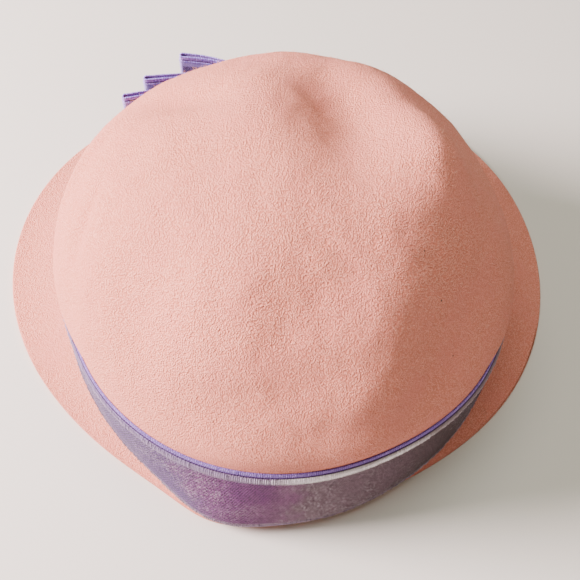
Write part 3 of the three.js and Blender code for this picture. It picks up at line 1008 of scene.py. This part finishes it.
def section_mesh(width, rows):
    """The ribbon's section as a closed outline, with v from 0 to 2 kept on its points."""
    face, back_side = ribbon_section(width, rows)
    points = [(x - width / 2, PILE_THICKNESS / 2 - h) for h, x in face + back_side]
    vs = [x / width for _, x in face] + [2 - x / width for _, x in back_side]
    points.append(points[0])
    vs.append(2.0)
    edges = [(i, i + 1) for i in range(len(points) - 1)]
    mesh = bpy.data.meshes.new("section")
    mesh.from_pydata([(x / 1000, y / 1000, 0) for x, y in points], edges, [])
    mesh.attributes.new("v", "FLOAT", "POINT").data.foreach_set("value", vs)
    return add_object("section", mesh)


print("ready to sweep")

# %% The loops' paths
BOW_AZIMUTH, BOW_REACH, BOW_LIFT = 275, 62, 1
LOOP_OPENING, LOOP_PINCH, KNOT_WIDTH = 1.6, 0.5, 15
LAYER = 2 * RIBBON_THICKNESS + LOOP_PINCH
LOOPS_START = RIBBON_THICKNESS + 2 * CLEARANCE
# left and right reach, fan and bulge of each loop, as shares of BOW_REACH
LOOPS = {
    "long": (1.008, 0.55, -0.1, 0.0),
    "middle": (0.848, 0.44, 0.005, 0.004),
    "short": (0.572, 0.3, 0.145, 0.02),
}


def loop_path(left, right, fan, bulge, index):
    """The middle of the ribbon round one loop, flat in X and Y, in mm."""
    turn = (LOOP_OPENING + RIBBON_THICKNESS) / 2
    pinch = (LOOP_PINCH + RIBBON_THICKNESS) / 2
    start, end = turn - left * BOW_REACH, right * BOW_REACH - turn
    middle = LOOPS_START + index * (LAYER + CLEARANCE) + LAYER / 2
    x = np.linspace(start, end, 60)
    arm = np.maximum(np.abs(x) - KNOT_WIDTH / 2, 0)
    share = arm / np.where(x < 0, arm[0], arm[-1])
    line = middle + fan * BOW_REACH * arm / arm[0]
    line = line + bulge * BOW_REACH * np.sin(math.pi * share) * (x < 0)
    spread = pinch + (turn - pinch) * ease(share)
    bend = np.linspace(math.pi / 2, -math.pi / 2, 13)[1:-1]
    return np.concatenate([
        np.stack([x, line + spread], 1),
        np.stack([end + turn * np.cos(bend), line[-1] + turn * np.sin(bend)], 1),
        np.stack([x, line - spread], 1)[::-1],
        np.stack([start - turn * np.cos(bend), line[0] - turn * np.sin(bend)], 1),
    ])


for name, row in LOOPS.items():
    print(name, "loop: points along the path", len(loop_path(*row, 0)))

# %% The bow's place on the crown
bow_angle = math.radians(BOW_AZIMUTH)
low = float(head_line(bow_angle))
height = low + BOW_LIFT + RIBBON_THICKNESS + CLEARANCE + RIBBON_WIDTH / 2
bow_rise = (height - low) / (CROWN_HEIGHT + HEAD_LINE_MIDDLE - low)
to_right = np.array([math.sin(bow_angle), -math.cos(bow_angle), 0])
upward = unit(np.cross(to_right, crown_normal(bow_angle, bow_rise)))
outward = np.cross(upward, to_right)
BOW_TURN = Matrix(np.stack([to_right, outward, upward], 1).tolist()).to_euler()
BOW_PLACE = (crown(bow_angle, bow_rise) + MOVE) / 1000
print("bow stands at", BOW_PLACE.round(4), "m")

# %% Sweep the loops
# The ribbon's ends meet at one point of the path, which lies under the knot.
ENDS_MEET = 36
# Where the painted highlight on a loop's folded end starts and fades, and how strong it is.
FOLD_START, FOLD_FADE, FOLD_HIGHLIGHT = 1.6, 1.2, 0.85


def swept_ribbon(name, path, width, rows, turn):
    """A ribbon that follows a path in mm, set down at the bow's place."""
    curve, section = closed_curve(path / 1000), section_mesh(width, rows)
    values = {
        "Section": section, "Ribbon Width": width / 1000,
        "Place": BOW_PLACE.tolist(), "Turn": turn, "Material": BOW_VELVET,
    }
    mesh = run_tree(SWEEP, curve, values, name)
    bpy.data.objects.remove(curve)
    bpy.data.objects.remove(section)
    return mesh


def paint_fold_highlight(mesh):
    """Marks a painted highlight on the folded far end of a loop, where the pile catches the light."""
    corners = np.zeros(3 * len(mesh.vertices))
    mesh.vertices.foreach_get("co", corners)
    reach = (corners.reshape(-1, 3) - BOW_PLACE) @ to_right * -1000
    pale = FOLD_HIGHLIGHT * ease((reach - reach.max() + FOLD_START) / FOLD_FADE)
    mesh.attributes.new("fold", "FLOAT", "POINT").data.foreach_set("value", pale)


loops = {}
for index, (name, row) in enumerate(LOOPS.items()):
    path = np.roll(loop_path(*row, index), -ENDS_MEET, 0)
    mesh = swept_ribbon(f"velvet_loop_{name}", path, RIBBON_WIDTH, 12, BOW_TURN)
    paint_fold_highlight(mesh)
    loops[name] = add_piece(mesh.name, mesh, f"bow_loop_{name}", "velvet_ribbon")
    print(mesh.name, "faces:", len(mesh.polygons))

# %% The knot
KNOT_ROUND = 0.6


def knot_path():
    """A rounded upright ring round the loops, in mm: X is out from the crown, Y is up."""
    low = LOOPS_START - CLEARANCE - RIBBON_THICKNESS / 2
    high = LOOPS_START + len(LOOPS) * (LAYER + CLEARANCE) + RIBBON_THICKNESS / 2
    tall = RIBBON_WIDTH / 2 + CLEARANCE + RIBBON_THICKNESS / 2
    corners = ((high, -tall, -90), (high, tall, 0), (low, tall, 90), (low, -tall, 180))
    path = []
    for x, y, start in corners:
        middle = np.array([x - KNOT_ROUND * (1 if x == high else -1), y - KNOT_ROUND * np.sign(y)])
        for turn in np.radians(np.linspace(start, start + 90, 6)):
            path.append(middle + KNOT_ROUND * np.array([math.cos(turn), math.sin(turn)]))
    return np.array(path)


knot_turn = Matrix(np.stack([outward, upward, to_right], 1).tolist()).to_euler()
knot_mesh = swept_ribbon("velvet_knot", knot_path(), KNOT_WIDTH, 8, knot_turn)
velvet_knot = add_piece("velvet_knot", knot_mesh, "bow_knot", "velvet_ribbon")
print("knot faces:", len(knot_mesh.polygons))

# %% [markdown]
# ## Ribs, tufts and stray fibres
# Close up, the selvedge is a row of tiny cords and the pile stands up in tufts along its edge. Both
# are one small shape repeated many hundred times, so a tree sets a low rounded grain on each point of
# a guide. The guide keeps two directions on every point: across the ribbon, and out from its face.

# %% The tree of ribs
def rib_tree():
    tree = bpy.data.node_groups.new("Row Of Ribs", "GeometryNodeTree")
    start, end = tree_sockets(tree, (
        ("Rib Length", "NodeSocketFloat", 0.002),
        ("Rib Width", "NodeSocketFloat", 0.0005),
        ("Rib Height", "NodeSocketFloat", 0.0003),
        ("Unevenness", "NodeSocketFloat", 0.2),
        ("Seed", "NodeSocketInt", 1),
        ("Material", "NodeSocketMaterial", None),
    ))
    across, outward = (kept(tree, name, "FLOAT_VECTOR") for name in ("across", "outward"))
    turn = add_node(
        tree, "FunctionNodeAxesToRotation", {"Primary Axis": outward, "Secondary Axis": across},
        primary_axis="Z", secondary_axis="X",
    )
    size = add_node(tree, "ShaderNodeCombineXYZ", {
        "X": start.outputs["Rib Length"],
        "Y": start.outputs["Rib Width"],
        "Z": start.outputs["Rib Height"],
    })
    least = sum_of(tree, 1.0, start.outputs["Unevenness"], operation="SUBTRACT")
    most = sum_of(tree, 1.0, start.outputs["Unevenness"])
    jitter = add_node(
        tree, "FunctionNodeRandomValue", {"Min": least, "Max": most, "Seed": start.outputs["Seed"]},
        out="Value", data_type="FLOAT",
    )
    size = scaled(tree, size, jitter)
    grain = add_node(tree, "GeometryNodeMeshUVSphere", {"Segments": 6, "Rings": 4, "Radius": 0.5})
    grain = add_node(tree, "GeometryNodeSetShadeSmooth", {"Geometry": grain})
    grains = add_node(tree, "GeometryNodeInstanceOnPoints", {
        "Points": start.outputs["Geometry"], "Instance": grain, "Rotation": turn, "Scale": size,
    })
    put_out(tree, grains, start, end)
    return tree


def guide_points(places, across, outward):
    """Points in metres with the two directions that the ribs take."""
    mesh = bpy.data.meshes.new("guide")
    mesh.from_pydata([tuple(p) for p in places], [], [])
    for name, directions in (("across", across), ("outward", outward)):
        layer = mesh.attributes.new(name, "FLOAT_VECTOR", "POINT")
        layer.data.foreach_set("vector", np.asarray(directions, float).ravel())
    return add_object("guide", mesh)


RIBS = rib_tree()
print("tree:", RIBS.name)

# %% Places for the ribs
RIB_PITCH = 0.8


def on_band(share, height):
    """Evenly spaced places on the band at a share of its width, with their two directions."""
    fine = BAND_START + np.linspace(0, 2 * math.pi, 4001)
    walked = walked_along(crown(fine, band_rise(share) + 0 * fine))
    turns = np.interp(np.arange(0, walked[-1] - RIB_PITCH / 2, RIB_PITCH), walked, fine)
    places, rise, normal = band_points(turns, share, height)
    across = unit(crown(turns, rise + 0.002) - crown(turns, rise - 0.002))
    return (places + MOVE) / 1000, across, normal


def on_loop(index, row, share, height):
    """The same along one loop of the bow."""
    path = loop_path(*row, index)
    path = np.concatenate([path, path[:1]])
    walked = walked_along(path)

    def at(distance):
        return np.stack([np.interp(distance, walked, path[:, k]) for k in (0, 1)], 1)

    places = np.arange(0, walked[-1], RIB_PITCH)
    along = unit(at(places + 0.3) - at(places - 0.3) + [1e-9, 0])
    away = np.stack([-along[:, 1], along[:, 0]], 1)
    flat = at(places) + away * (height - PILE_THICKNESS / 2)
    basis = np.stack([to_right, outward])
    up = (share - 0.5) * RIBBON_WIDTH
    places = BOW_PLACE + (flat @ basis + upward * up) / 1000
    return places, np.broadcast_to(upward, places.shape), away @ basis


def rows_of_ribs(name, rows, size, unevenness, seed, material):
    """All the ribs of one kind as one piece. size is the length, width and height of a rib in mm."""
    guide = guide_points(*(np.concatenate(part) for part in zip(*rows)))
    values = {
        "Rib Length": size[0] / 1000, "Rib Width": size[1] / 1000, "Rib Height": size[2] / 1000,
        "Unevenness": unevenness, "Seed": seed, "Material": material,
    }
    mesh = run_tree(RIBS, guide, values, name)
    bpy.data.objects.remove(guide)
    print(name, "faces:", len(mesh.polygons))
    return add_piece(name, mesh, slot="velvet_ribbon")


print("ribs in one row round the band:", len(on_band(0.5, 0)[0]))

# %% Ribs on the band
# shares of the band's width, height over its back, rib's size in mm, unevenness, seed, material
BAND_TRIMS = {
    "band_selvedge_cords": ((0.021, 0.979), SELVEDGE_THICKNESS, (1.7, 0.5, 0.4), 0.15, 3, CORD),
    "band_crest_tufts": ((0.902,), PILE_THICKNESS, (3.1, 0.6, 1.1), 0.3, 5, TUFT),
    "band_foot_tufts": ((0.077,), PILE_THICKNESS, (2.4, 0.6, 0.7), 0.4, 6, MATTED),
}
band_trims = []
for name, (shares, height, *look) in BAND_TRIMS.items():
    band_trims.append(rows_of_ribs(name, [on_band(share, height) for share in shares], *look))

# %% Ribs on the loops
# The same for both edges of each loop, with the share as the distance from its edge.
LOOP_TRIMS = {
    "cords": (0.027, SELVEDGE_THICKNESS, (2.1, 0.6, 0.3), 0.12, 7, CORD),
    "picots": (0.003, SELVEDGE_THICKNESS / 2, (0.7, 0.6, 0.8), 0.2, 8, BOW_TUFT),
    "tufts": (0.075, PILE_THICKNESS - 0.1, (1.2, 0.5, 0.4), 0.3, 9, BOW_TUFT),
}
loop_trims = {name: [] for name in LOOPS}
for index, (name, row) in enumerate(LOOPS.items()):
    for kind, (inset, height, *look) in LOOP_TRIMS.items():
        rows = [on_loop(index, row, share, height) for share in (inset, 1 - inset)]
        loop_trims[name].append(rows_of_ribs(f"loop_{name}_{kind}", rows, *look))

# %% [markdown]
# Each ribbon was cut flat before it was laid, so its cut size is stated: the band is stretched round
# the felt, and each loop and the knot are folded.

# %% State the cut ribbons
band_length = band_uv[0][-1] * RIBBON_WIDTH / 1000
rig.sheet(
    velvet_band, flat=(RIBBON_WIDTH / 1000, round(band_length, 3)), held="stretched",
    rests_on=["felt_hat"], with_pieces=band_trims,
)


def closed_length(path):
    return float(np.linalg.norm(np.roll(path, -1, 0) - path, axis=1).sum())


for index, (name, row) in enumerate(LOOPS.items()):
    length = round(closed_length(loop_path(*row, index)) / 1000, 3)
    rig.sheet(
        loops[name], flat=(RIBBON_WIDTH / 1000, length), held="folded", rests_on=["velvet_knot"],
        with_pieces=loop_trims[name],
    )
    print(name, "loop was cut", length, "m long")
knot_length = round(closed_length(knot_path()) / 1000, 3)
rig.sheet(velvet_knot, flat=(KNOT_WIDTH / 1000, knot_length), held="folded", rests_on=["velvet_band"])
print("knot was cut", knot_length, "m long, band", round(band_length, 3))

# %% [markdown]
# Felt is never quite smooth: short fibres stand off it and catch the light along its outline. Points
# are scattered over the outside only, and each carries one thin bent fibre of three sides.

# %% Stray fibres
def fibre_tree():
    tree = bpy.data.node_groups.new("Stray Fibres", "GeometryNodeTree")
    start, end = tree_sockets(tree, (
        ("Fibres Per Square Metre", "NodeSocketFloat", 60000.0),
        ("Fibre Length", "NodeSocketFloat", 0.002),
        ("Fibre Radius", "NodeSocketFloat", 0.00003),
        ("Seed", "NodeSocketInt", 1),
        ("Material", "NodeSocketMaterial", None),
    ))
    density = product(tree, kept(tree, "outside"), start.outputs["Fibres Per Square Metre"])
    scatter = tree.nodes.new("GeometryNodeDistributePointsOnFaces")
    tree.links.new(start.outputs["Geometry"], scatter.inputs["Mesh"])
    tree.links.new(density, scatter.inputs["Density"])
    tree.links.new(start.outputs["Seed"], scatter.inputs["Seed"])
    bend = add_node(tree, "GeometryNodeCurveQuadraticBezier", {
        "Resolution": 4, "Start": (0, 0, -0.04), "Middle": (0.05, 0, 0.5), "End": (0.55, 0.2, 0.6),
    })
    ring = add_node(
        tree, "GeometryNodeCurvePrimitiveCircle", {"Resolution": 3, "Radius": 1.0}, mode="RADIUS"
    )
    length = start.outputs["Fibre Length"]
    thin = sum_of(tree, start.outputs["Fibre Radius"], length, operation="DIVIDE")
    fibre = add_node(
        tree, "GeometryNodeCurveToMesh",
        {"Curve": bend, "Profile Curve": ring, "Scale": thin, "Fill Caps": True},
    )
    tilt = add_node(
        tree, "FunctionNodeRandomValue",
        {"Min": (-1.0, -1.0, 0.0), "Max": (1.0, 1.0, 6.28), "Seed": start.outputs["Seed"]},
        out="Value", data_type="FLOAT_VECTOR",
    )
    turn = add_node(
        tree, "FunctionNodeRotateRotation",
        {"Rotation": scatter.outputs["Rotation"], "Rotate By": tilt}, rotation_space="LOCAL",
    )
    share = add_node(
        tree, "FunctionNodeRandomValue", {"Min": 0.35, "Max": 1.0, "Seed": 12},
        out="Value", data_type="FLOAT",
    )
    size = product(tree, share, length)
    fibres = add_node(tree, "GeometryNodeInstanceOnPoints", {
        "Points": scatter.outputs["Points"], "Instance": fibre, "Rotation": turn, "Scale": size,
    })
    put_out(tree, fibres, start, end)
    return tree


FIBRES = fibre_tree()
values = {
    "Fibres Per Square Metre": 90000.0, "Fibre Length": 0.0021, "Fibre Radius": 0.000035,
    "Seed": 4, "Material": FLUFF,
}
fibre_mesh = run_tree(FIBRES, felt_hat, values, "felt_stray_fibres")
add_piece("felt_stray_fibres", fibre_mesh, slot="felt")
print("fibre faces:", len(fibre_mesh.polygons))

# %% [markdown]
# ## The size
# The dressed hat may stand only a little proud of the solids, so both boxes are written down.

# %% Write the boxes
with open("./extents.json", "w") as out:
    json.dump({"cad": [list(c) for c in cad_box], "visual": [list(c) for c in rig.bounds()]}, out)
print(open("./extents.json").read())
